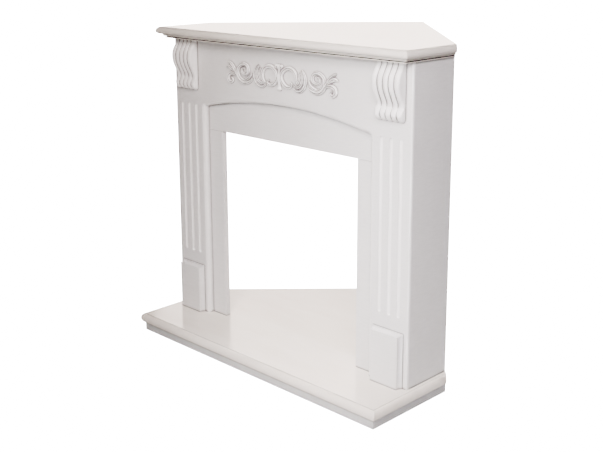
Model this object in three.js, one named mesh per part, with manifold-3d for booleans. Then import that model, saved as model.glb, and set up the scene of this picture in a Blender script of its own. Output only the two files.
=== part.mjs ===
// Corner fireplace surround of white painted board, with its own hearth.
// Millimetres. X runs across the front, Y runs back into the corner and Z is up from the floor.
// The front face of the upright board is at Y = 0.
import * as THREE from "three";
import { mergeVertices } from "three/addons/utils/BufferGeometryUtils.js";
import Module from "manifold-3d";

const wasm = await Module();
wasm.setup();

// Body and the corner that it stands in
const BODY_WIDTH = 974;
const SIDE_DEPTH = 177;
const FRONT_HEIGHT = 901.6;
const FRONT_BOARD = 20;
const PANEL_BOARD = 18;
const OUTER_ARRIS = 6;

// Hearth
const PLINTH_HEIGHT = 26;
const PLINTH_FRONT = 150;
const PLINTH_SIDE = 10;
const SLAB_THICKNESS = 32.4;
const SLAB_OVERHANG = 11;
const SLAB_QUIRK = 1;

// Mantel shelf
const SHELF_THICKNESS = 34.5;
const SHELF_FRONT = 56;
const SHELF_SIDE = 24;
const LIP_SETBACK = 17;
const SHELF_NOSE = 13.5;
const SHELF_QUIRK = 12;
const NOSE_UNDERCUT = 1;
const COVE_REACH = 9;
const LIP_TOP = 7;
const UNDER_FILLET = 2;
const SHADOW_GAP = 3;
const SHADOW_DEPTH = 8;
const NOSE_START = 238;

// Arch and the fire opening behind it
const LEG_WIDTH = 131.5;
const ARCH_CROWN_DROP = 160;
const ARCH_RISE = 41.5;
const EDGE_MOULDING = 10;
const ARCH_CORNER = 6;
const STILE_WIDTH = 186;
const HEADER_DROP = 286;

// Flutes
const FLUTE_COUNT = 3;
const FLUTE_PITCH = 34;
const FLUTE_WIDTH = 12;
const FLUTE_DEPTH = 6;
const FLUTE_TOP_DROP = 206;
const FLUTE_BLOCK_GAP = 40;

// Base blocks
const BLOCK_WIDTH = 109;
const BLOCK_HEIGHT = 160;
const BLOCK_THICKNESS = 19;
const BLOCK_MOULDING = 7;
const BLOCK_FILLET = 3;
const BLOCK_LEDGE = 4;

// Corbels
const CORBEL_WIDTH = 94;
const CORBEL_HEIGHT = 161;
const CORBEL_PROJECTION = 33;
const REED_COUNT = 5;
const REED_DEPTH = 7;
const REED_ROUND = 0.7;
const CORBEL_SKIN = 0.5;

// Frieze ornament
const ORNAMENT_WIDTH = 464;
const ORNAMENT_HEIGHT = 74;
const ORNAMENT_DROP = 88;
const ORNAMENT_RELIEF = 9;
const ORNAMENT_HALF_GRID = 100;
const ORNAMENT_HIGH_GRID = 32;
const STROKE_ROUND = 0.7;
const STROKE_FULLNESS = 1.35;

// How far a cutting shape runs past what it cuts
const OVERCUT = 40;

// Heights and lines that follow from the sizes above
const HALF_BODY = BODY_WIDTH / 2;
const WALL_CORNER = HALF_BODY + SIDE_DEPTH;
const HEARTH_TOP = PLINTH_HEIGHT + SLAB_THICKNESS;
const SHELF_BOTTOM = HEARTH_TOP + FRONT_HEIGHT;
const FACE_OPENING = HALF_BODY - LEG_WIDTH;
const LEG_CENTRE = HALF_BODY - (LEG_WIDTH + OUTER_ARRIS) / 2;
const ARCH_CROWN = SHELF_BOTTOM - ARCH_CROWN_DROP;
const HALF_INSIDE = HALF_BODY - PANEL_BOARD;
const HEADER_BOTTOM = SHELF_BOTTOM - HEADER_DROP;

function toSolid(geometry) {
  const plain = geometry.index ? geometry.toNonIndexed() : geometry.clone();
  plain.deleteAttribute("normal");
  plain.deleteAttribute("uv");
  const merged = mergeVertices(plain, 1e-3);
  const vertProperties = merged.attributes.position.array;
  const triVerts = new Uint32Array(merged.index.array);
  return new wasm.Manifold(new wasm.Mesh({ numProp: 3, vertProperties, triVerts }));
}

function toGeometry(solid) {
  const mesh = solid.getMesh();
  const geometry = new THREE.BufferGeometry();
  geometry.setAttribute("position", new THREE.BufferAttribute(mesh.vertProperties, 3));
  geometry.setIndex(new THREE.BufferAttribute(mesh.triVerts, 1));
  geometry.computeVertexNormals();
  return geometry;
}

function shapeOf(points) {
  return new THREE.Shape(points.map(([a, b]) => new THREE.Vector2(a, b)));
}

// An outline in X and Y, raised from one height to another.
function raised(points, bottom, top) {
  const geometry = new THREE.ExtrudeGeometry(shapeOf(points), {
    depth: top - bottom,
    bevelEnabled: false,
  });
  return toSolid(geometry.translate(0, 0, bottom));
}

// A section in Y and Z, run across from one X to another.
function across(points, left, right) {
  const geometry = new THREE.ExtrudeGeometry(shapeOf(points), {
    depth: right - left,
    bevelEnabled: false,
  });
  geometry.rotateY(Math.PI / 2).rotateX(Math.PI / 2);
  return toSolid(geometry.translate(left, 0, 0));
}

// A section in X and Z, run back from one Y to another.
function runBack(points, front, back) {
  const geometry = new THREE.ExtrudeGeometry(shapeOf(points), {
    depth: back - front,
    bevelEnabled: false,
  });
  return toSolid(geometry.rotateX(Math.PI / 2).translate(0, back, 0));
}

function board(left, right, front, back, bottom, top) {
  const geometry = new THREE.BoxGeometry(right - left, back - front, top - bottom);
  return geometry.translate((left + right) / 2, (front + back) / 2, (bottom + top) / 2);
}

// Points on an elliptical arc, both ends included; angles in degrees.
function arc(cx, cy, rx, ry, from, to, steps) {
  const points = [];
  for (let i = 0; i <= steps; i++) {
    const angle = THREE.MathUtils.degToRad(from + ((to - from) * i) / steps);
    points.push([cx + rx * Math.cos(angle), cy + ry * Math.sin(angle)]);
  }
  return points;
}

// A flat board with a moulded edge on the front and both sides, and a back cut to the two walls.
// The edge is a list of [distance in from the nose, height], from the bottom to the top.
function cornerBoard(edge, halfWidth, front, bottom) {
  const heights = edge.map(([, z]) => z);
  const low = bottom + Math.min(...heights);
  const high = bottom + Math.max(...heights);
  const frontEdge = edge.map(([d, z]) => [front + d, bottom + z]);
  const rightEdge = edge.map(([d, z]) => [halfWidth - d, bottom + z]);
  const leftEdge = edge.map(([d, z]) => [d - halfWidth, bottom + z]).reverse();
  const wide = halfWidth + OVERCUT;
  const far = WALL_CORNER + OVERCUT;
  const plan = [
    [-wide, front - OVERCUT],
    [wide, front - OVERCUT],
    [wide, WALL_CORNER - wide],
    [0, WALL_CORNER],
    [-wide, WALL_CORNER - wide],
  ];
  const frontSection = [...frontEdge.reverse(), [far, low], [far, high]];
  return across(frontSection, -wide, wide)
    .intersect(runBack([...rightEdge, ...leftEdge], front - OVERCUT, far))
    .intersect(raised(plan, low - OVERCUT, high + OVERCUT));
}

// A closed skin through rings that all have the same number of points, with a flat end on each.
function loft(rings) {
  const count = rings[0].length;
  const position = rings.flat(2);
  const index = [];
  for (let i = 0; i + 1 < rings.length; i++) {
    for (let j = 0; j < count; j++) {
      const a = i * count + j;
      const b = i * count + ((j + 1) % count);
      index.push(a, b, b + count, a, b + count, a + count);
    }
  }
  for (let j = 1; j + 1 < count; j++) {
    const last = (rings.length - 1) * count;
    index.push(0, j + 1, j, last, last + j, last + j + 1);
  }
  const geometry = new THREE.BufferGeometry();
  geometry.setAttribute("position", new THREE.Float32BufferAttribute(position, 3));
  geometry.setIndex(index);
  return geometry;
}

// Mantel shelf: a shadow gap, a small lip, a cove, a quirk and a rounded nose
function shelfEdge() {
  const nose = SHELF_THICKNESS - SHELF_NOSE;
  const undercut = nose - SHELF_QUIRK + NOSE_UNDERCUT;
  return [
    [LIP_SETBACK, 0],
    [LIP_SETBACK, UNDER_FILLET],
    [LIP_SETBACK + SHADOW_DEPTH, UNDER_FILLET],
    [LIP_SETBACK + SHADOW_DEPTH, UNDER_FILLET + SHADOW_GAP],
    [LIP_SETBACK, UNDER_FILLET + SHADOW_GAP],
    ...arc(LIP_SETBACK - COVE_REACH, LIP_TOP, COVE_REACH, SHELF_QUIRK - LIP_TOP, 0, 90, 4),
    ...arc(SHELF_NOSE, nose, SHELF_NOSE, undercut, NOSE_START, 180, 4),
    ...arc(SHELF_NOSE, nose, SHELF_NOSE, SHELF_NOSE, 180, 90, 6).slice(1),
  ];
}

function mantelShelf() {
  return cornerBoard(shelfEdge(), HALF_BODY + SHELF_SIDE, -SHELF_FRONT, SHELF_BOTTOM);
}

// Hearth: a plain base board under a slab with a half round edge and a fine quirk on top
function slabEdge() {
  const face = SLAB_THICKNESS - SLAB_QUIRK;
  return [
    ...arc(SLAB_OVERHANG, face / 2, SLAB_OVERHANG, face / 2, 270, 90, 12),
    [SLAB_OVERHANG, SLAB_THICKNESS],
  ];
}

function plinth() {
  const edge = [
    [0, 0],
    [0, PLINTH_HEIGHT],
  ];
  return cornerBoard(edge, HALF_BODY + PLINTH_SIDE, -PLINTH_FRONT, 0);
}

function hearthSlab() {
  const side = HALF_BODY + PLINTH_SIDE + SLAB_OVERHANG;
  return cornerBoard(slabEdge(), side, -PLINTH_FRONT - SLAB_OVERHANG, PLINTH_HEIGHT);
}

// Front board: the arched outline with a rounded inner edge, rounded outer arrises and flutes
function archOutline() {
  const half = FACE_OPENING - EDGE_MOULDING;
  const crown = ARCH_CROWN - EDGE_MOULDING;
  const chord = FACE_OPENING;
  const radius = (chord * chord + ARCH_RISE * ARCH_RISE) / (2 * ARCH_RISE) - EDGE_MOULDING;
  const centre = crown - radius;
  const reach = Math.asin((half - ARCH_CORNER) / (radius - ARCH_CORNER));
  const degrees = THREE.MathUtils.radToDeg(reach);
  const cornerZ = centre + (radius - ARCH_CORNER) * Math.cos(reach);
  const corner = arc(half - ARCH_CORNER, cornerZ, ARCH_CORNER, ARCH_CORNER, 0, 90 - degrees, 4);
  const curve = arc(0, centre, radius, radius, 90 - degrees, 90 + degrees, 24).slice(1, -1);
  const mirrored = corner.map(([x, z]) => [-x, z]).reverse();
  return [...corner, ...curve, ...mirrored];
}

function facade() {
  const below = HEARTH_TOP - OVERCUT;
  const above = SHELF_BOTTOM + OVERCUT;
  const wide = HALF_BODY + OVERCUT;
  const inner = FACE_OPENING - EDGE_MOULDING;
  const outline = [[inner, below], ...archOutline(), [-inner, below]];
  outline.push([-wide, below], [-wide, above], [wide, above], [wide, below]);
  const geometry = new THREE.ExtrudeGeometry(shapeOf(outline), {
    depth: FRONT_BOARD,
    bevelThickness: EDGE_MOULDING,
    bevelSize: EDGE_MOULDING,
    bevelOffset: -EDGE_MOULDING,
    bevelSegments: 4,
  });
  const arched = toSolid(geometry.rotateX(Math.PI / 2).translate(0, FRONT_BOARD + EDGE_MOULDING, 0));
  const plan = [
    [HALF_BODY, FRONT_BOARD],
    [-HALF_BODY, FRONT_BOARD],
    ...arc(-HALF_BODY + OUTER_ARRIS, OUTER_ARRIS, OUTER_ARRIS, OUTER_ARRIS, 180, 270, 4),
    ...arc(HALF_BODY - OUTER_ARRIS, OUTER_ARRIS, OUTER_ARRIS, OUTER_ARRIS, 270, 360, 4),
  ];
  let solid = arched.intersect(raised(plan, HEARTH_TOP, SHELF_BOTTOM));
  for (const x of fluteCentres()) {
    solid = solid.subtract(fluteCutter(x));
  }
  return solid;
}

function fluteCentres() {
  const centres = [];
  for (let i = 0; i < FLUTE_COUNT; i++) {
    const x = LEG_CENTRE + (i - (FLUTE_COUNT - 1) / 2) * FLUTE_PITCH;
    centres.push(-x, x);
  }
  return centres;
}

// A round-ended groove, cut by a ball nose
function fluteCutter(x) {
  const half = FLUTE_WIDTH / 2;
  const radius = (half * half + FLUTE_DEPTH * FLUTE_DEPTH) / (2 * FLUTE_DEPTH);
  const bottom = HEARTH_TOP + BLOCK_HEIGHT + FLUTE_BLOCK_GAP + radius;
  const top = SHELF_BOTTOM - FLUTE_TOP_DROP - radius;
  const geometry = new THREE.CapsuleGeometry(radius, top - bottom, 4, 16);
  geometry.rotateX(Math.PI / 2);
  return toSolid(geometry.translate(x, FLUTE_DEPTH - radius, (top + bottom) / 2));
}

// Base block: a raised field with a fillet and cove round three sides
function blockEdge() {
  const cove = BLOCK_THICKNESS - BLOCK_FILLET - BLOCK_LEDGE;
  return [
    [0, 0],
    ...arc(0, BLOCK_FILLET + cove, BLOCK_MOULDING, cove, 270, 360, 4),
    [BLOCK_MOULDING, BLOCK_THICKNESS],
  ];
}

function baseBlock(centre) {
  const half = BLOCK_WIDTH / 2;
  const top = HEARTH_TOP + BLOCK_HEIGHT;
  const right = blockEdge().map(([d, p]) => [centre + half - d, -p]);
  const left = blockEdge().map(([d, p]) => [centre - half + d, -p]);
  const upper = blockEdge().map(([d, p]) => [-p, top - d]);
  const section = [[0, HEARTH_TOP], ...upper, [-BLOCK_THICKNESS, HEARTH_TOP]];
  return raised([...left, ...right.reverse()], HEARTH_TOP, top)
    .intersect(across(section, centre - half - OVERCUT, centre + half + OVERCUT));
}

// Corbel: an S-shaped side with rounded reeds running down the front.
// The side is a list of [share of the projection, share of the height], from the bottom up.
const CORBEL_SIDE = [
  [0.08, 0], [0.42, 0.03], [0.6, 0.1], [0.54, 0.16], [0.38, 0.23], [0.39, 0.3], [0.6, 0.39],
  [0.88, 0.52], [0.97, 0.63], [0.9, 0.75], [0.6, 0.86], [0.42, 0.93], [0.35, 1],
];

function corbelProfile() {
  const points = CORBEL_SIDE.map(([out, up]) => [out * CORBEL_PROJECTION, up * CORBEL_HEIGHT]);
  return new THREE.SplineCurve(points.map(([a, b]) => new THREE.Vector2(a, b)));
}

function corbel(centre) {
  const steps = 4;
  const half = CORBEL_WIDTH / 2;
  const bottom = SHELF_BOTTOM - CORBEL_HEIGHT;
  const rings = corbelProfile().getPoints(26).map((point) => {
    const z = bottom + point.y;
    const ring = [[centre + half, 0, z], [centre - half, 0, z]];
    const groove = Math.max(CORBEL_SKIN, point.x - REED_DEPTH);
    for (let i = 0; i <= REED_COUNT * steps; i++) {
      const swell = (point.x - groove) * Math.sin((Math.PI * (i % steps)) / steps) ** REED_ROUND;
      const x = centre - half + (i * CORBEL_WIDTH) / (REED_COUNT * steps);
      ring.push([x, -groove - swell, z]);
    }
    return ring;
  });
  return toSolid(loft(rings));
}

// Frieze ornament, drawn for the right half on a grid 100 wide from the centre and 32 high.
// Each stroke is a list of [across, up, width].
const BALUSTER = [
  [0, -15.6, 2.2], [0, -13.8, 5.2], [0, -11.7, 4.3], [0, -8.6, 2.8], [0, -3.5, 4.3], [0, 1.7, 4.5],
  [0, 6.1, 2.8], [0, 9.5, 2.6], [0, 11.7, 3.4], [0, 14.3, 5.6], [0, 16, 4.7], [0, 17.7, 1.7],
];
const BOW = [
  [0.4, 14.3, 1.7], [3, 16, 2.2], [5.2, 15.6, 2.4], [5.2, 13.4, 1.9], [2.6, 13, 1.3],
];
const RING = [
  [18.5, -3.5, 1.3], [21.6, -5.2, 1.7], [20.3, -8.6, 2.4], [15.1, -9.9, 3], [9.1, -7.4, 3.4],
  [4.3, -1.7, 3.4], [3.4, 3.9, 3.4], [7.3, 9.9, 3.4], [13.4, 13.4, 3.4], [19.8, 13.8, 3.4],
  [25.9, 11.2, 3.4], [29.7, 6.1, 3.4], [30.6, 0, 3.2], [28.4, -5.2, 2.6], [24.6, -7.8, 1.9],
];
const LEAF_OUTER = [
  [39.2, 14.3, 0.9], [43.5, 8.6, 2.6], [45.3, 2.2, 3.4], [44.4, -4.3, 3.9], [40.5, -9.9, 3.9],
  [34.5, -13, 3.4], [28.4, -12.1, 2.6], [24.6, -8.6, 1.7],
];
const LEAF_MIDDLE = [
  [36.6, 13.4, 0.9], [40.1, 7.8, 3], [40.5, 1.7, 3.4], [38.8, -3.9, 3.4], [34.5, -7.8, 3],
  [29.3, -8.6, 2.2], [25.9, -7.8, 1.5],
];
const LEAF_INNER = [
  [34.1, 10.4, 0.9], [35.8, 5.2, 2.8], [34.9, 0, 3.4], [31, -4.8, 2.2], [28.4, -6.1, 1.7],
];
const SCROLL = [
  [49.2, -2.2, 0.9], [51.4, -6.5, 2.4], [56.9, -9.5, 3.9], [64.7, -10.8, 5], [71.6, -8.6, 5.2],
  [76.3, -3.9, 4.7], [77.6, 2.6, 3.9], [74.6, 8.6, 3.4], [67.7, 12.1, 3.4], [60.3, 11.2, 3.4],
  [56.9, 6.5, 3.2], [58.2, 1.3, 3], [63.4, -0.9, 2.8], [69, 1.3, 2.6], [69.8, 5.6, 2.2],
  [65.9, 7.4, 1.7], [63.4, 5.6, 1.3],
];
const SCROLL_TIP = [
  [65.5, -8.6, 1.7], [59.5, -6.9, 2.8], [53.9, -3.5, 2.6], [51, 2.4, 0.6],
];
const SPRAY_UPPER = [
  [70.7, -9.5, 1.7], [76.7, -3.9, 3], [81.5, 2.2, 3.4], [86.2, 7.8, 3.4], [90.9, 11.7, 3],
  [96.6, 14.3, 0.9],
];
const SPRAY_MIDDLE = [
  [81, 0.4, 2.2], [88.4, 5.2, 3.4], [94, 7.4, 3.4], [99.6, 5.6, 0.9],
];
const SPRAY_CURL = [
  [77.6, -3.9, 1.7], [84.5, -1.3, 3], [90.9, -1.7, 3.4], [95.3, -4.8, 3.4], [95.3, -9.9, 3.4],
  [90.9, -13, 3], [87.1, -10.8, 2.2], [87.9, -7.8, 1.7], [90.9, -7.4, 1.3],
];

function stroke(points, side) {
  const unitX = ORNAMENT_WIDTH / (2 * ORNAMENT_HALF_GRID);
  const unitZ = ORNAMENT_HEIGHT / ORNAMENT_HIGH_GRID;
  const unitW = unitX * STROKE_FULLNESS;
  const middle = SHELF_BOTTOM - ORNAMENT_DROP;
  const path = new THREE.CatmullRomCurve3(
    points.map(([x, z, w]) => new THREE.Vector3(side * x * unitX, middle + z * unitZ, w * unitW)),
  );
  const stations = (points.length - 1) * 2;
  const steps = 6;
  const widest = Math.max(...points.map(([, , w]) => w)) * unitW;
  const rings = [];
  for (let i = 0; i <= stations; i++) {
    const here = path.getPoint(i / stations);
    const slope = path.getTangent(i / stations);
    const run = new THREE.Vector2(slope.x, slope.y).normalize();
    const height = ORNAMENT_RELIEF * Math.sqrt(here.z / widest);
    const end = i === 0 || i === stations ? 0.5 : 1;
    const ring = arc(0, 0, here.z / 2, 1, 0, 180, steps).map(([s, rise]) => [
      here.x - run.y * s,
      -end * height * Math.max(rise, 0) ** STROKE_ROUND,
      here.y + run.x * s,
    ]);
    rings.push(ring);
  }
  return toSolid(loft(rings));
}

function joined(solids) {
  return solids.reduce((sum, next) => sum.add(next));
}

function friezeCentre() {
  const strokes = [BOW, RING, LEAF_OUTER, LEAF_MIDDLE, LEAF_INNER];
  const halves = [-1, 1].flatMap((side) => strokes.map((points) => stroke(points, side)));
  return joined([stroke(BALUSTER, 1), ...halves]);
}

function friezeScroll(side) {
  const strokes = [SCROLL, SCROLL_TIP, SPRAY_UPPER, SPRAY_MIDDLE, SPRAY_CURL];
  return joined(strokes.map((points) => stroke(points, side)));
}

// The finished object
const object = new THREE.Group();

function add(name, shape, color, roughness) {
  const geometry = shape.isBufferGeometry ? shape : toGeometry(shape);
  const material = new THREE.MeshStandardMaterial({ color, roughness, metalness: 0 });
  const mesh = new THREE.Mesh(geometry, material);
  mesh.name = name;
  object.add(mesh);
}

add("plinth", plinth(), 0xd9d8d4, 0.5);
add("hearth_slab", hearthSlab(), 0xece3d8, 0.25);
add("facade", facade(), 0xe2e1de, 0.45);
add("inner_header", board(-HALF_INSIDE, HALF_INSIDE, FRONT_BOARD, FRONT_BOARD + PANEL_BOARD,
  HEADER_BOTTOM, SHELF_BOTTOM), 0xdcdbd8, 0.5);
add("mantel_shelf", mantelShelf(), 0xf0eadf, 0.3);
add("frieze_centre", friezeCentre(), 0xe6e5e2, 0.45);
for (const [side, word] of [[-1, "left"], [1, "right"]]) {
  const stile = [side * HALF_INSIDE, side * (HALF_INSIDE - STILE_WIDTH)].sort((a, b) => a - b);
  const panel = [side * HALF_BODY, side * HALF_INSIDE].sort((a, b) => a - b);
  add("inner_stile_" + word, board(...stile, FRONT_BOARD, FRONT_BOARD + PANEL_BOARD,
    HEARTH_TOP, HEADER_BOTTOM), 0xdcdbd8, 0.5);
  add("side_panel_" + word, board(...panel, FRONT_BOARD, SIDE_DEPTH,
    HEARTH_TOP, SHELF_BOTTOM), 0xdedddb, 0.5);
  add("base_block_" + word, baseBlock(side * LEG_CENTRE), 0xe2e1de, 0.45);
  add("corbel_" + word, corbel(side * LEG_CENTRE), 0xe2e1de, 0.45);
  add("frieze_scroll_" + word, friezeScroll(side), 0xe6e5e2, 0.45);
}

export default object;
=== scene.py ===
import math

import bmesh
import bpy
from mathutils import Matrix, Vector


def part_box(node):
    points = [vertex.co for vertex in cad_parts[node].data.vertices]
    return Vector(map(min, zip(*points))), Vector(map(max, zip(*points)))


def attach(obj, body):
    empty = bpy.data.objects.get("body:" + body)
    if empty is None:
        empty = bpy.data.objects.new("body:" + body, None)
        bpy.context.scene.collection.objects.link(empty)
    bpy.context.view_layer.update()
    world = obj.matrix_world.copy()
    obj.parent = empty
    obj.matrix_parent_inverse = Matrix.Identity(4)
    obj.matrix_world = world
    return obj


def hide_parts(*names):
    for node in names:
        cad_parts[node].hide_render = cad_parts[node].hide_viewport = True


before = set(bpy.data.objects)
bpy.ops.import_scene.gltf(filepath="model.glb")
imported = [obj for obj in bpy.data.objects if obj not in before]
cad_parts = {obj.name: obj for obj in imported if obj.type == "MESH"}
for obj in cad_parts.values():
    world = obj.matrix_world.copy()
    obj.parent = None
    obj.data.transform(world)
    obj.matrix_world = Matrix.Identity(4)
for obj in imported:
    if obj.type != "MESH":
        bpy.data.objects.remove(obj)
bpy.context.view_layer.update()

MM = 0.001

# Lines that the boards share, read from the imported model
shelf_low, shelf_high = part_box("mantel_shelf")
slab_low, slab_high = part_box("hearth_slab")
plinth_low, plinth_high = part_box("plinth")
facade_low, facade_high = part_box("facade")
block_low, block_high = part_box("base_block_right")
corbel_low, corbel_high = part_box("corbel_right")

wall_corner = shelf_high.y
hearth_top = slab_high.z
shelf_bottom = shelf_low.z
half_body = facade_high.x
leg_centre = (block_low.x + block_high.x) / 2
front_board = facade_high.y


# Sums of shader values, written as Python expressions

class Value:
    """A shader socket that takes part in sums."""

    def __init__(self, finish, socket):
        self.finish = finish
        self.socket = socket

    def sum(self, operation, first, second):
        return self.finish.node("ShaderNodeMath", {"operation": operation}, {0: first, 1: second})

    def __add__(self, other):
        return self.sum("ADD", self, other)

    def __mul__(self, other):
        return self.sum("MULTIPLY", self, other)

    def __rsub__(self, other):
        return self.sum("SUBTRACT", other, self)

    __radd__ = __add__
    __rmul__ = __mul__

    def between(self, low, high):
        """0 below low and 1 above high, turning smoothly."""
        settings = {"interpolation_type": "SMOOTHSTEP"}
        return self.finish.node("ShaderNodeMapRange", settings, {0: self, 1: low, 2: high})


class Finish:
    """A painted surface: a material, and the nodes that vary it."""

    def __init__(self, name, **constants):
        self.material = bpy.data.materials.new(name)
        self.material.use_nodes = True
        self.tree = self.material.node_tree
        self.shader = self.tree.nodes["Principled BSDF"]
        for socket, value in constants.items():
            self.shader.inputs[socket.replace("_", " ")].default_value = value
        self.place = self.node("ShaderNodeTexCoord", {}, {}, "Object")

    def node(self, kind, settings, values, output=0):
        made = self.tree.nodes.new(kind)
        for name, value in settings.items():
            setattr(made, name, value)
        for key, value in values.items():
            if isinstance(value, Value):
                self.tree.links.new(value.socket, made.inputs[key])
            else:
                made.inputs[key].default_value = value
        return Value(self, made.outputs[output])

    def noise(self, scale, detail=3.0, roughness=0.5, stretch=(1, 1, 1)):
        place = self.node("ShaderNodeMapping", {}, {"Vector": self.place, "Scale": stretch})
        values = {"Vector": place, "Scale": scale, "Detail": detail, "Roughness": roughness}
        return self.node("ShaderNodeTexNoise", {}, values, "Fac")

    def mixed(self, amount, first, second):
        settings = {"data_type": "RGBA", "clamp_factor": True}
        colours = [c if isinstance(c, Value) else (*c, 1.0) for c in (first, second)]
        return self.node("ShaderNodeMix", settings, {0: amount, 6: colours[0], 7: colours[1]}, 2)

    def crevice(self, distance):
        """1 in a tight corner or groove, 0 in the open."""
        values = {"Distance": distance}
        open_sky = self.node("ShaderNodeAmbientOcclusion", {"samples": 8}, values, "AO")
        return 1 - open_sky

    def drive(self, socket, value):
        self.tree.links.new(value.socket, self.shader.inputs[socket])

    def relief(self, height, distance):
        values = {"Height": height, "Distance": distance, "Strength": 1.0}
        self.drive("Normal", self.node("ShaderNodeBump", {}, values))


def satin_paint(name, white, shade, stretch, groove_shade_amount=0.9, grooves=(0.08, 0.40),
                seams=(0.25, 0.55), outlines=(0.24, 0.44), moulding_highlight=1.0):
    """Rolled satin paint, with painted shade darkening its grooves, its joints and the corners
    round raised parts.

    With its last argument at 1, the mouldings cut into the front board are painted a purer white,
    a painted highlight.
    """
    finish = Finish(name, Specular_IOR_Level=0.45)
    cloud = finish.noise(5.0, 4.0)
    roller = finish.noise(420.0, 2.0, 0.6, stretch)
    peel = finish.noise(1500.0, 1.0)
    depth = finish.node("ShaderNodeSeparateXYZ", {}, {"Vector": finish.place}, "Y")
    behind_face = depth.between(0.3 * MM, 1.5 * MM)
    # Painted highlight: the front board's flutes, edge mouldings and rounded arrises are painted
    # a purer white where they would catch the light.
    moulded = behind_face * (1 - depth.between(9 * MM, 11 * MM)) * moulding_highlight
    # Painted shade: grooves, tight joints and the corners round raised parts are darkened by how
    # shut in they are.
    groove = finish.crevice(9 * MM).between(*grooves)
    seam = finish.crevice(3 * MM).between(*seams)
    outline = finish.crevice(6 * MM).between(*outlines) * (1 - behind_face * moulding_highlight)
    brushed = finish.noise(260.0, 2.0, 0.6, (0.12, 0.12, 1)).between(0.40, 0.62)
    paint = finish.mixed(cloud.between(0.3, 0.75) * 0.5 + brushed * 0.5, white, shade)
    paint = finish.mixed(moulded, paint, HIGHLIGHT_WHITE)
    # The two darker tones below are the painted shade colours.
    groove_shade_colour = tuple(c * k for c, k in zip(shade, (0.55, 0.52, 0.52)))
    dark = tuple(c * k for c, k in zip(shade, (0.25, 0.23, 0.23)))
    groove_shaded_paint = finish.mixed(groove * groove_shade_amount * (1 - moulded), paint, groove_shade_colour)
    outlined = finish.mixed(outline * 0.85, groove_shaded_paint, dark)
    finish.drive("Base Color", finish.mixed(seam * 0.9, outlined, dark))
    finish.drive("Roughness", 0.36 + cloud * 0.10 + roller * 0.05)
    finish.relief(roller * 0.7 + peel * 0.3, 0.05 * MM)
    return finish.material


def lacquer(name, cream, shade, drag=(1, 1, 1)):
    """Glossy lacquer on board: a faint cloud in its colour, a little orange peel and painted
    shade in its gaps.
    """
    finish = Finish(name, Coat_Roughness=0.06, Specular_IOR_Level=0.5)
    cloud = finish.noise(7.0, 6.0, 0.6, drag)
    peel = finish.noise(260.0, 2.0)
    speck = finish.noise(900.0, 1.0).between(0.70, 0.76)
    # Painted shade: grooves and the shadow gap under the lip are darkened, nearly to black in the
    # gap.
    groove = finish.crevice(5 * MM).between(0.3, 0.95)
    seam = finish.crevice(5 * MM).between(0.24, 0.5)
    paint = finish.mixed(cloud.between(0.35, 0.68), cream, shade)
    groove_shade_colour = tuple(c * 0.78 for c in shade)
    dark = tuple(c * 0.06 for c in shade)
    groove_shaded_lacquer = finish.mixed(groove * 0.7, paint, groove_shade_colour)
    finish.drive("Base Color", finish.mixed(seam, groove_shaded_lacquer, dark))
    finish.drive("Roughness", 0.13 + cloud * 0.08 + speck * 0.12)
    finish.drive("Coat Weight", 0.35 - speck * 0.2)
    finish.relief(peel, 0.03 * MM)
    return finish.material


BRUSHED_UP = (1, 1, 0.25)
BRUSHED_ACROSS = (0.25, 1, 1)

WHITE = (0.79, 0.78, 0.775)
WHITE_SHADE = (0.735, 0.725, 0.72)
# A purer white, used as a painted highlight on mouldings and carvings.
HIGHLIGHT_WHITE = (0.93, 0.92, 0.91)
CREAM = (0.86, 0.815, 0.75)
CREAM_SHADE = (0.83, 0.785, 0.715)
HEARTH_CREAM = (0.90, 0.845, 0.775)
HEARTH_SHADE = (0.81, 0.745, 0.67)
# Painted shade: the plinth's white is painted a darker grey, for the shade it stands in under the
# slab.
SHADED_BASE_WHITE = (0.55, 0.545, 0.55)
BASE_SHADE = (0.50, 0.495, 0.495)

front_paint = satin_paint("satin_white_front", WHITE, WHITE_SHADE, BRUSHED_UP)
side_paint = satin_paint("satin_white_side", WHITE, WHITE_SHADE, BRUSHED_UP, moulding_highlight=0.0)
# Painted highlight: the carvings are painted in the purer highlight white, brighter than the
# board, with strong painted shade in their corners.
carved_paint = satin_paint("satin_white_carved", HIGHLIGHT_WHITE, (0.90, 0.89, 0.88), (1, 1, 1),
                           groove_shade_amount=1.0, grooves=(0.16, 0.46), seams=(0.12, 0.36))
# The plinth has stronger painted shade in its corners, most of all right under the slab's nose.
plinth_paint = satin_paint("satin_white_base_painted_shade", SHADED_BASE_WHITE, BASE_SHADE, BRUSHED_ACROSS,
                           seams=(0.08, 0.25), outlines=(0.10, 0.28), moulding_highlight=0.0)
gloss_cream = lacquer("gloss_cream", CREAM, CREAM_SHADE)
hearth_cream = lacquer("gloss_cream_hearth", HEARTH_CREAM, HEARTH_SHADE, BRUSHED_ACROSS)


# Making and finishing a piece

def piece(bm, name, node, paint, crease=32.0):
    """A finished piece in a node's place: faces out, curves soft and edges crisp."""
    bmesh.ops.recalc_face_normals(bm, faces=bm.faces)
    for face in bm.faces:
        face.smooth = True
    for edge in bm.edges:
        edge.smooth = edge.calc_face_angle(0.0) < math.radians(crease)
    mesh = bpy.data.meshes.new(name)
    bm.to_mesh(mesh)
    bm.free()
    mesh.materials.append(paint)
    made = bpy.data.objects.new(name, mesh)
    bpy.context.scene.collection.objects.link(made)
    flat = made.modifiers.new("flat_faces", "WEIGHTED_NORMAL")
    flat.keep_sharp = True
    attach(made, "root")
    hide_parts(node)
    return made


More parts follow.
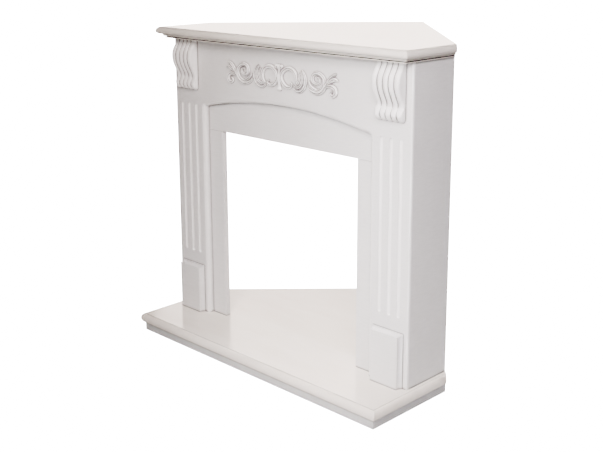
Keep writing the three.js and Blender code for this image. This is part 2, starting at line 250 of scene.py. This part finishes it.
def stack(outlines):
    """A closed form: the first outline is a face, and each next one is drawn out of the last."""
    bm = bmesh.new()
    order = bm.verts.layers.int.new("order")
    corners = [bm.verts.new(point) for point in outlines[0]]
    for i, corner in enumerate(corners):
        corner[order] = i
    face = bm.faces.new(corners)
    for outline in outlines[1:]:
        drawn = bmesh.ops.extrude_discrete_faces(bm, faces=[face])["faces"]
        face = drawn[0]
        for corner in face.verts:
            corner.co = outline[corner[order]]
    bottom = [edge for edge in bm.edges if edge.is_boundary]
    bmesh.ops.holes_fill(bm, edges=bottom, sides=0)
    return bm


def arc(cx, cy, rx, ry, start, end, steps):
    """Points on an elliptical arc, both ends included, with the angles in degrees."""
    angles = [math.radians(start + (end - start) * i / steps) for i in range(steps + 1)]
    return [(cx + rx * math.cos(a), cy + ry * math.sin(a)) for a in angles]


def soften(bm, offset, edges):
    """A small round on the edges given."""
    bmesh.ops.bevel(bm, geom=edges, offset=offset, affect="EDGES", segments=2, profile=0.5,
                    material=-1)


# Boards cut to the corner of the room

def corner_outline(half, front, inset, z):
    """The board's plan, drawn in by the inset at the front and the sides but not at the walls."""
    side = half - inset
    return [
        (-side, front + inset, z),
        (side, front + inset, z),
        (side, wall_corner - side, z),
        (0.0, wall_corner, z),
        (-side, wall_corner - side, z),
    ]


def corner_board(edge, low, high, corner_round):
    """A flat board with a moulded front and sides: (inset, height) from the bottom up."""
    bm = stack([corner_outline(high.x, low.y, inset, low.z + z) for inset, z in edge])
    deepest_inset = 60 * MM
    least_rise = 0.2 * MM
    mitres = []
    for line in bm.edges:
        a, b = (corner.co for corner in line.verts)
        on_front = max(a.y, b.y) - low.y < deepest_inset
        if on_front and a.x * b.x > 0 and abs(a.z - b.z) > least_rise:
            mitres.append(line)
    soften(bm, corner_round, mitres)
    return bm


def shelf_edge():
    """A fine fillet, a shadow gap, a small lip, a cove, a quirk and a rounded nose."""
    thick = shelf_high.z - shelf_low.z
    setback = 17 * MM
    fillet = 2 * MM
    gap = 3 * MM
    gap_depth = 8 * MM
    lip = 7 * MM
    quirk = 12 * MM
    reach = 9 * MM
    nose = 13.5 * MM
    undercut = 1 * MM
    ease = 0.5 * MM
    level = thick - nose
    return [
        (setback, 0.0),
        (setback, fillet),
        (setback + gap_depth, fillet),
        (setback + gap_depth, fillet + gap),
        (setback + ease, fillet + gap),
        (setback, fillet + gap + ease),
        *arc(setback - reach, lip, reach, quirk - lip, 0, 90, 10),
        *arc(nose, level, nose, level - quirk + undercut, 238, 180, 8),
        *arc(nose, level, nose, nose, 180, 90, 16)[1:],
    ]


def mantel_shelf():
    bm = corner_board(shelf_edge(), shelf_low, shelf_high, 1.2 * MM)
    return piece(bm, "mantel_shelf_board", "mantel_shelf", gloss_cream)


def slab_edge():
    """A half round nose under a fine quirk."""
    quirk = 1 * MM
    face = slab_high.z - slab_low.z - quirk
    overhang = plinth_low.y - slab_low.y
    return [
        *arc(overhang, face / 2, overhang, face / 2, 270, 90, 28),
        (overhang, face + quirk * 0.7),
        (overhang + 0.4 * MM, face + quirk),
    ]


def hearth_slab():
    bm = corner_board(slab_edge(), slab_low, slab_high, 2.0 * MM)
    return piece(bm, "hearth_slab_board", "hearth_slab", hearth_cream)


def plinth():
    rise = plinth_high.z - plinth_low.z
    small = 0.8 * MM
    edge = [(small, 0.0), (0.0, small), (0.0, rise - small), (small, rise)]
    bm = corner_board(edge, plinth_low, plinth_high, 1.5 * MM)
    return piece(bm, "plinth_board", "plinth", plinth_paint)


# Upright front board

LEG_WIDTH = 131.5 * MM
ARCH_CROWN_DROP = 160 * MM
ARCH_RISE = 41.5 * MM
EDGE_MOULDING = 10 * MM
ARCH_CORNER = 6 * MM
OUTER_ARRIS = 6 * MM


def arch_line(inset):
    """The opening's edge from the right leg over the arch to the left, set in from the reveal."""
    chord = half_body - LEG_WIDTH
    half = chord - EDGE_MOULDING + inset
    corner = ARCH_CORNER + inset
    crown = shelf_bottom - ARCH_CROWN_DROP - EDGE_MOULDING + inset
    radius = (chord ** 2 + ARCH_RISE ** 2) / (2 * ARCH_RISE) - EDGE_MOULDING + inset
    centre = crown - radius
    reach = math.degrees(math.asin((half - corner) / (radius - corner)))
    corner_z = centre + (radius - corner) * math.cos(math.radians(reach))
    turn = arc(half - corner, corner_z, corner, corner, 0, 90 - reach, 10)
    curve = arc(0, centre, radius, radius, 90 - reach, 90 + reach, 72)[1:-1]
    return turn + curve + [(-x, z) for x, z in reversed(turn)]


def facade_outline(inset, arris, y):
    half = half_body - LEG_WIDTH - EDGE_MOULDING + inset
    outer = half_body - arris
    points = [(half, hearth_top), *arch_line(inset), (-half, hearth_top)]
    points += [(-outer, hearth_top), (-outer, shelf_bottom)]
    points += [(outer, shelf_bottom), (outer, hearth_top)]
    return [(x, y, z) for x, z in points]


def facade_section():
    """(depth, inset of the opening's edge, arris) from the back of the board to its front."""
    fillet = 1.4 * MM
    inner = EDGE_MOULDING - 2 * fillet
    ovolo = arc(fillet + inner, fillet + inner, inner, inner, 180, 270, 10)
    slope = 1 * MM
    steps = [(front_board, 0.0), (EDGE_MOULDING - slope, 0.0), (fillet + inner, fillet)]
    steps += [(y, inset) for inset, y in ovolo[1:]]
    steps += [(0.0, EDGE_MOULDING)]
    section = []
    for y, inset in steps:
        depth = min(max(OUTER_ARRIS - y, 0.0) / OUTER_ARRIS, 1.0)
        section.append((y, inset, OUTER_ARRIS * (1 - math.sqrt(1 - depth ** 2))))
    return section


FLUTE_PITCH = 34 * MM
FLUTE_WIDTH = 12 * MM
FLUTE_DEPTH = 6 * MM
FLUTE_TOP = shelf_bottom - 206 * MM
FLUTE_BOTTOM = block_high.z + 40 * MM
FLUTES_FROM_CENTRE = (-1, 0, 1)


def flute_cutter(x):
    """A ball-nosed cutter's path: a rod with round ends."""
    half = FLUTE_WIDTH / 2
    radius = (half ** 2 + FLUTE_DEPTH ** 2) / (2 * FLUTE_DEPTH)
    y = FLUTE_DEPTH - radius
    end = arc(0, FLUTE_TOP - radius, radius, radius, 90, 0, 8)
    line = end + [(r, FLUTE_BOTTOM + FLUTE_TOP - z) for r, z in reversed(end)]
    bm = bmesh.new()
    verts = [bm.verts.new((x + r, y, z)) for r, z in line]
    edges = [bm.edges.new(pair) for pair in zip(verts, verts[1:])]
    bmesh.ops.spin(bm, geom=verts + edges, cent=(x, y, 0), axis=(0, 0, 1), angle=math.tau,
                   steps=32, use_merge=True)
    bmesh.ops.remove_doubles(bm, verts=bm.verts, dist=1e-6)
    bmesh.ops.recalc_face_normals(bm, faces=bm.faces)
    return bm


def scratch_object(bm, name):
    mesh = bpy.data.meshes.new(name)
    bm.to_mesh(mesh)
    bm.free()
    made = bpy.data.objects.new(name, mesh)
    bpy.context.scene.collection.objects.link(made)
    return made


def cut_or_joined(base, others, operation):
    """One mesh from a base and other closed meshes, cut away from it or joined to it."""
    main = scratch_object(base, "base_shape")
    tools = [scratch_object(bm, "tool_shape") for bm in others]
    for tool in tools:
        step = main.modifiers.new("step", "BOOLEAN")
        step.operation = operation
        step.solver = "EXACT"
        step.use_self = True
        step.object = tool
    bpy.context.view_layer.update()
    evaluated = main.evaluated_get(bpy.context.evaluated_depsgraph_get())
    bm = bmesh.new()
    bm.from_mesh(evaluated.to_mesh())
    evaluated.to_mesh_clear()
    for made in [main, *tools]:
        mesh = made.data
        bpy.data.objects.remove(made)
        bpy.data.meshes.remove(mesh)
    return bm


def facade():
    outlines = [facade_outline(inset, arris, y) for y, inset, arris in facade_section()]
    board = stack(outlines)
    bmesh.ops.recalc_face_normals(board, faces=board.faces)
    ends = [face for face in board.faces if len(face.verts) > 4]
    bmesh.ops.triangulate(board, faces=ends)
    cutters = []
    for i in FLUTES_FROM_CENTRE:
        for side in (-1, 1):
            cutters.append(flute_cutter(side * (leg_centre + i * FLUTE_PITCH)))
    bm = cut_or_joined(board, cutters, "DIFFERENCE")
    return piece(bm, "facade_board", "facade", front_paint)


# Flat boards behind the front

def flat_board(node, paint):
    """A plain board with slightly rounded edges."""
    low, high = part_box(node)
    bm = bmesh.new()
    bmesh.ops.create_cube(bm, size=1.0)
    size = high - low
    bmesh.ops.scale(bm, vec=size, verts=bm.verts)
    bmesh.ops.translate(bm, vec=(low + high) / 2, verts=bm.verts)
    soften(bm, 1.5 * MM, bm.edges[:])
    return piece(bm, node + "_board", node, paint)


# Base blocks

def block_section():
    """(inset, projection) from the board out to the block's face."""
    thick = -block_low.y
    fillet = 3 * MM
    ledge = 4 * MM
    ease = 0.8 * MM
    moulding = 7 * MM
    cove = thick - fillet - ledge
    return [
        (0.0, 0.0),
        *arc(0, fillet + cove, moulding, cove, 270, 360, 12),
        (moulding, thick - ease),
        (moulding + ease, thick),
    ]


def base_block(side, word):
    half = (block_high.x - block_low.x) / 2
    centre = side * leg_centre
    outlines = []
    for inset, out in block_section():
        left, right = centre - half + inset, centre + half - inset
        top = block_high.z - inset
        outlines.append([(left, -out, hearth_top), (right, -out, hearth_top),
                         (right, -out, top), (left, -out, top)])
    bm = stack(outlines)
    node = "base_block_" + word
    return piece(bm, node + "_moulded", node, front_paint)


# Corbels

REEDS = 5
REED_DEPTH = 7 * MM
REED_COLUMNS = 14
CORBEL_REACH = 33 * MM
CORBEL_SKIN = 0.5 * MM
CARVED_CREASE = 50.0
CORBEL_SIDE = [
    (0.08, 0.0), (0.42, 0.03), (0.6, 0.1), (0.54, 0.16), (0.38, 0.23), (0.39, 0.3), (0.6, 0.39),
    (0.88, 0.52), (0.97, 0.63), (0.9, 0.75), (0.6, 0.86), (0.42, 0.93), (0.35, 1.0),
]


def smooth_line(points, steps):
    """A soft curve through the points, with so many steps from each to the next."""
    line = []
    for i in range(len(points) - 1):
        p = [Vector(points[min(max(k, 0), len(points) - 1)]) for k in (i - 1, i, i + 1, i + 2)]
        for j in range(steps):
            t = j / steps
            line.append(0.5 * ((2 * p[1]) + (p[2] - p[0]) * t
                               + (2 * p[0] - 5 * p[1] + 4 * p[2] - p[3]) * t ** 2
                               + (3 * p[1] - p[0] - 3 * p[2] + p[3]) * t ** 3))
    line.append(Vector(points[-1]))
    return line


def corbel(side, word):
    """Five reeds on an S-shaped side, each with a round end."""
    rise = corbel_high.z - corbel_low.z
    wide = corbel_high.x - corbel_low.x
    end = wide / REEDS / 2
    side_line = smooth_line(CORBEL_SIDE, 8)
    rows = len(side_line) - 1
    columns = REEDS * REED_COLUMNS
    bm = bmesh.new()
    bmesh.ops.create_grid(bm, x_segments=columns, y_segments=rows, size=0.5)
    for vert in bm.verts:
        column = round((vert.co.x + 0.5) * columns)
        row = side_line[round((vert.co.y + 0.5) * rows)]
        off_crest = abs(2 * (column % REED_COLUMNS) / REED_COLUMNS - 1)
        groove = max(row.x * CORBEL_REACH - REED_DEPTH, CORBEL_SKIN)
        swell = (row.x * CORBEL_REACH - groove) * max(1 - off_crest ** 2, 0.0) ** 0.6
        foot = end * (1 - math.sqrt(max(1 - off_crest ** 2, 0.0)))
        height = foot + (rise - foot) * row.y
        across = side * leg_centre + vert.co.x * wide
        vert.co = (across, -groove - swell, corbel_low.z + height)
    rim = [edge for edge in bm.edges if edge.is_boundary]
    drawn = bmesh.ops.extrude_edge_only(bm, edges=rim)["geom"]
    back = [part for part in drawn if isinstance(part, bmesh.types.BMVert)]
    for vert in back:
        vert.co.y = 0.0
    bmesh.ops.holes_fill(bm, edges=[e for e in bm.edges if e.is_boundary], sides=0)
    node = "corbel_" + word
    return piece(bm, node + "_carved", node, carved_paint, CARVED_CREASE)


# Frieze ornament, drawn for the right half on a grid 100 wide from the centre and 32 high.
# Each stroke is a list of (across, up, width).

BALUSTER = [
    (0, -15.6, 2.2), (0, -13.8, 5.2), (0, -11.7, 4.3), (0, -8.6, 2.8), (0, -3.5, 4.3),
    (0, 1.7, 4.5), (0, 6.1, 2.8), (0, 9.5, 2.6), (0, 11.7, 3.4), (0, 14.3, 5.6), (0, 16, 4.7),
    (0, 17.7, 1.7),
]
BOW = [
    (0.4, 14.3, 1.7), (3, 16, 2.2), (5.2, 15.6, 2.4), (5.2, 13.4, 1.9), (2.6, 13, 1.3),
]
RING = [
    (18.5, -3.5, 1.3), (21.6, -5.2, 1.7), (20.3, -8.6, 2.4), (15.1, -9.9, 3), (9.1, -7.4, 3.4),
    (4.3, -1.7, 3.4), (3.4, 3.9, 3.4), (7.3, 9.9, 3.4), (13.4, 13.4, 3.4), (19.8, 13.8, 3.4),
    (25.9, 11.2, 3.4), (29.7, 6.1, 3.4), (30.6, 0, 3.2), (28.4, -5.2, 2.6), (24.6, -7.8, 1.9),
]
LEAF_OUTER = [
    (39.2, 14.3, 0.9), (43.5, 8.6, 2.6), (45.3, 2.2, 3.4), (44.4, -4.3, 3.9), (40.5, -9.9, 3.9),
    (34.5, -13, 3.4), (28.4, -12.1, 2.6), (24.6, -8.6, 1.7),
]
LEAF_MIDDLE = [
    (36.6, 13.4, 0.9), (40.1, 7.8, 3), (40.5, 1.7, 3.4), (38.8, -3.9, 3.4), (34.5, -7.8, 3),
    (29.3, -8.6, 2.2), (25.9, -7.8, 1.5),
]
LEAF_INNER = [
    (34.1, 10.4, 0.9), (35.8, 5.2, 2.8), (34.9, 0, 3.4), (31, -4.8, 2.2), (28.4, -6.1, 1.7),
]
SCROLL = [
    (49.2, -2.2, 0.9), (51.4, -6.5, 2.4), (56.9, -9.5, 3.9), (64.7, -10.8, 5), (71.6, -8.6, 5.2),
    (76.3, -3.9, 4.7), (77.6, 2.6, 3.9), (74.6, 8.6, 3.4), (67.7, 12.1, 3.4), (60.3, 11.2, 3.4),
    (56.9, 6.5, 3.2), (58.2, 1.3, 3), (63.4, -0.9, 2.8), (69, 1.3, 2.6), (69.8, 5.6, 2.2),
    (65.9, 7.4, 1.7), (63.4, 5.6, 1.3),
]
SCROLL_TIP = [
    (65.5, -8.6, 1.7), (59.5, -6.9, 2.8), (53.9, -3.5, 2.6), (51, 2.4, 0.6),
]
SPRAY_UPPER = [
    (70.7, -9.5, 1.7), (76.7, -3.9, 3), (81.5, 2.2, 3.4), (86.2, 7.8, 3.4), (90.9, 11.7, 3),
    (96.6, 14.3, 0.9),
]
SPRAY_MIDDLE = [
    (81, 0.4, 2.2), (88.4, 5.2, 3.4), (94, 7.4, 3.4), (99.6, 5.6, 0.9),
]
SPRAY_CURL = [
    (77.6, -3.9, 1.7), (84.5, -1.3, 3), (90.9, -1.7, 3.4), (95.3, -4.8, 3.4), (95.3, -9.9, 3.4),
    (90.9, -13, 3), (87.1, -10.8, 2.2), (87.9, -7.8, 1.7), (90.9, -7.4, 1.3),
]

GRID_ACROSS = 2.32 * MM
GRID_UP = 2.3125 * MM
ORNAMENT_MIDDLE = shelf_bottom - 88 * MM
RELIEF = 9 * MM
STROKE_FULLNESS = 1.35
BED_STEP = 0.04 * MM


def reeded(reeds, depth):
    """Half a section, from edge to edge: (across from -1 to 1, height up to 1)."""
    steps = reeds * 7
    section = []
    for i in range(steps + 1):
        turn = math.pi * i / steps
        reed = abs(math.sin(reeds * turn)) ** 0.8
        section.append((-math.cos(turn), abs(math.sin(turn)) ** 0.7 * (1 - depth * (1 - reed))))
    return section


def stroke(points, side, reeds=2, depth=0.45, lobes=0, bed=0.0):
    """A carved stem or leaf: a reeded section swept along its line, bedded into the board."""
    line = smooth_line(points, 7)
    widest = max(w for _, _, w in points)
    section = reeded(reeds, depth)
    rings = []
    for i, (across, up, width) in enumerate(line):
        before, after = line[max(i - 1, 0)], line[min(i + 1, len(line) - 1)]
        run = Vector((side * (after.x - before.x) * GRID_ACROSS, (after.y - before.y) * GRID_UP))
        run.normalize()
        notch = 1 - abs(math.sin(math.pi * lobes * i / (len(line) - 1))) ** 0.5 if lobes else 0
        half = width * GRID_ACROSS / 2 * STROKE_FULLNESS * (1 - 0.16 * notch)
        height = RELIEF * math.sqrt(width / widest) * (1 - 0.22 * notch)
        if i in (0, len(line) - 1):
            height *= 0.5
        middle = Vector((side * across * GRID_ACROSS, ORNAMENT_MIDDLE + up * GRID_UP))
        rings.append([(middle.x - run.y * s * half, bed - h * height, middle.y + run.x * s * half)
                      for s, h in section])
    bm = stack(rings)
    bmesh.ops.recalc_face_normals(bm, faces=bm.faces)
    return bm


def carving(strokes, node):
    """Strokes joined to one carving, each bedded a little deeper than the last."""
    cut = [stroke(*form, bed=BED_STEP * i) for i, form in enumerate(strokes)]
    bm = cut_or_joined(cut[0], cut[1:], "UNION")
    bmesh.ops.remove_doubles(bm, verts=bm.verts, dist=0.005 * MM)
    return piece(bm, node + "_carved", node, carved_paint, CARVED_CREASE)


def frieze_centre():
    strokes = [(BALUSTER, 1, 1, 0.0)]
    for side in (-1, 1):
        strokes += [(BOW, side, 1), (RING, side, 2, 0.5), (LEAF_OUTER, side, 3, 0.5, 7)]
        strokes += [(LEAF_MIDDLE, side, 2, 0.5, 6), (LEAF_INNER, side, 2, 0.5, 4)]
    return carving(strokes, "frieze_centre")


def frieze_scroll(side, word):
    strokes = [(SCROLL, side, 3, 0.5), (SCROLL_TIP, side, 2, 0.5, 4)]
    strokes += [(SPRAY_UPPER, side, 3, 0.5, 5), (SPRAY_MIDDLE, side, 2, 0.5, 4)]
    strokes += [(SPRAY_CURL, side, 2, 0.5)]
    return carving(strokes, "frieze_scroll_" + word)


mantel_shelf()
hearth_slab()
plinth()
facade()
flat_board("inner_header", front_paint)
for side, word in ((-1, "left"), (1, "right")):
    flat_board("inner_stile_" + word, front_paint)
    flat_board("side_panel_" + word, side_paint)
    base_block(side, word)
    corbel(side, word)
    frieze_scroll(side, word)
frieze_centre()


# Floor, light and camera

BACKDROP_GLOW = 30.0


def studio_floor():
    bm = bmesh.new()
    bmesh.ops.create_grid(bm, x_segments=1, y_segments=1, size=14.0)
    mesh = bpy.data.meshes.new("studio_floor")
    bm.to_mesh(mesh)
    bm.free()
    floor = bpy.data.objects.new("studio_floor", mesh)
    finish = Finish("studio_floor_paint", Roughness=0.6, Specular_IOR_Level=0.3,
                    Emission_Strength=BACKDROP_GLOW)
    shade = finish.noise(1.5, 2.0)
    finish.drive("Base Color", finish.mixed(shade, (0.62, 0.62, 0.62), (0.60, 0.60, 0.60)))
    seen = finish.node("ShaderNodeLightPath", {}, {}, "Is Camera Ray")
    finish.drive("Emission Color", finish.mixed(seen, (0.0, 0.0, 0.0), (1.0, 1.0, 1.0)))
    mesh.materials.append(finish.material)
    bpy.context.scene.collection.objects.link(floor)


def soft_lamp(name, place, aim, width, power, colour=(1.0, 1.0, 1.0), spread=180):
    """A round softbox, which the camera doesn't see."""
    data = bpy.data.lights.new(name, "AREA")
    data.color = colour
    data.shape = "DISK"
    data.size = width
    data.energy = power
    data.spread = math.radians(spread)
    lamp = bpy.data.objects.new(name, data)
    lamp.location = place
    lamp.rotation_euler = (Vector(aim) - Vector(place)).to_track_quat("-Z", "Y").to_euler()
    lamp.visible_camera = False
    bpy.context.scene.collection.objects.link(lamp)


def studio_light():
    world = bpy.data.worlds.new("studio")
    world.use_nodes = True
    sky = world.node_tree.nodes["Background"]
    sky.inputs["Color"].default_value = (1.0, 1.0, 1.0, 1.0)
    tree = world.node_tree
    seen = tree.nodes.new("ShaderNodeLightPath")
    glow = tree.nodes.new("ShaderNodeMapRange")
    tree.links.new(seen.outputs["Is Camera Ray"], glow.inputs["Value"])
    glow.inputs["To Min"].default_value = 0.06
    glow.inputs["To Max"].default_value = BACKDROP_GLOW
    tree.links.new(glow.outputs["Result"], sky.inputs["Strength"])
    bpy.context.scene.world = world
    soft_lamp("key_from_right", (1.44, -0.94, 1.75), (0.1, 0.0, 0.6), 0.4, 38, (1.0, 0.90, 0.93))
    soft_lamp("front", (0.45, -1.1, 1.55), (0.2, 0.0, 0.6), 0.5, 14, (1.0, 0.88, 0.80))
    soft_lamp("front_high", (0.40, -1.11, 2.24), (0.1, 0.0, 0.6), 0.4, 9, (1.0, 0.80, 0.62))
    soft_lamp("right_leg", (0.75, -1.2, 1.2), (0.42, 0.0, 0.4), 0.6, 8, (1.0, 0.97, 1.0), 70)
    soft_lamp("hearth", (0.9, -1.4, 1.6), (0.2, -0.15, 0.0), 0.5, 1.6, (1.0, 0.90, 0.82), 30)
    soft_lamp("back_sweep", (-2.2, 2.6, 1.3), (0.0, 0.0, 0.7), 2.4, 112, (1.0, 0.84, 0.74))


def camera():
    """The photograph's view, from the right and above."""
    yaw, pitch, roll = (math.radians(a) for a in (44.69, 13.01, -0.20))
    level = math.cos(pitch)
    ahead = Vector((-math.sin(yaw) * level, math.cos(yaw) * level, -math.sin(pitch)))
    right = Vector((math.cos(yaw), math.sin(yaw), 0.0))
    up = right.cross(ahead)
    across = math.cos(roll) * right + math.sin(roll) * up
    upward = math.cos(roll) * up - math.sin(roll) * right
    data = bpy.data.cameras.new("camera")
    data.sensor_fit = "HORIZONTAL"
    data.sensor_width = 36.0
    data.lens = 59.27
    data.shift_y = -0.0995
    made = bpy.data.objects.new("camera", data)
    turn = Matrix((across, upward, -ahead)).transposed().to_4x4()
    made.matrix_world = Matrix.Translation((2.0506, -1.9861, 1.2710)) @ turn
    bpy.context.scene.collection.objects.link(made)
    bpy.context.scene.camera = made


studio_floor()
studio_light()
camera()
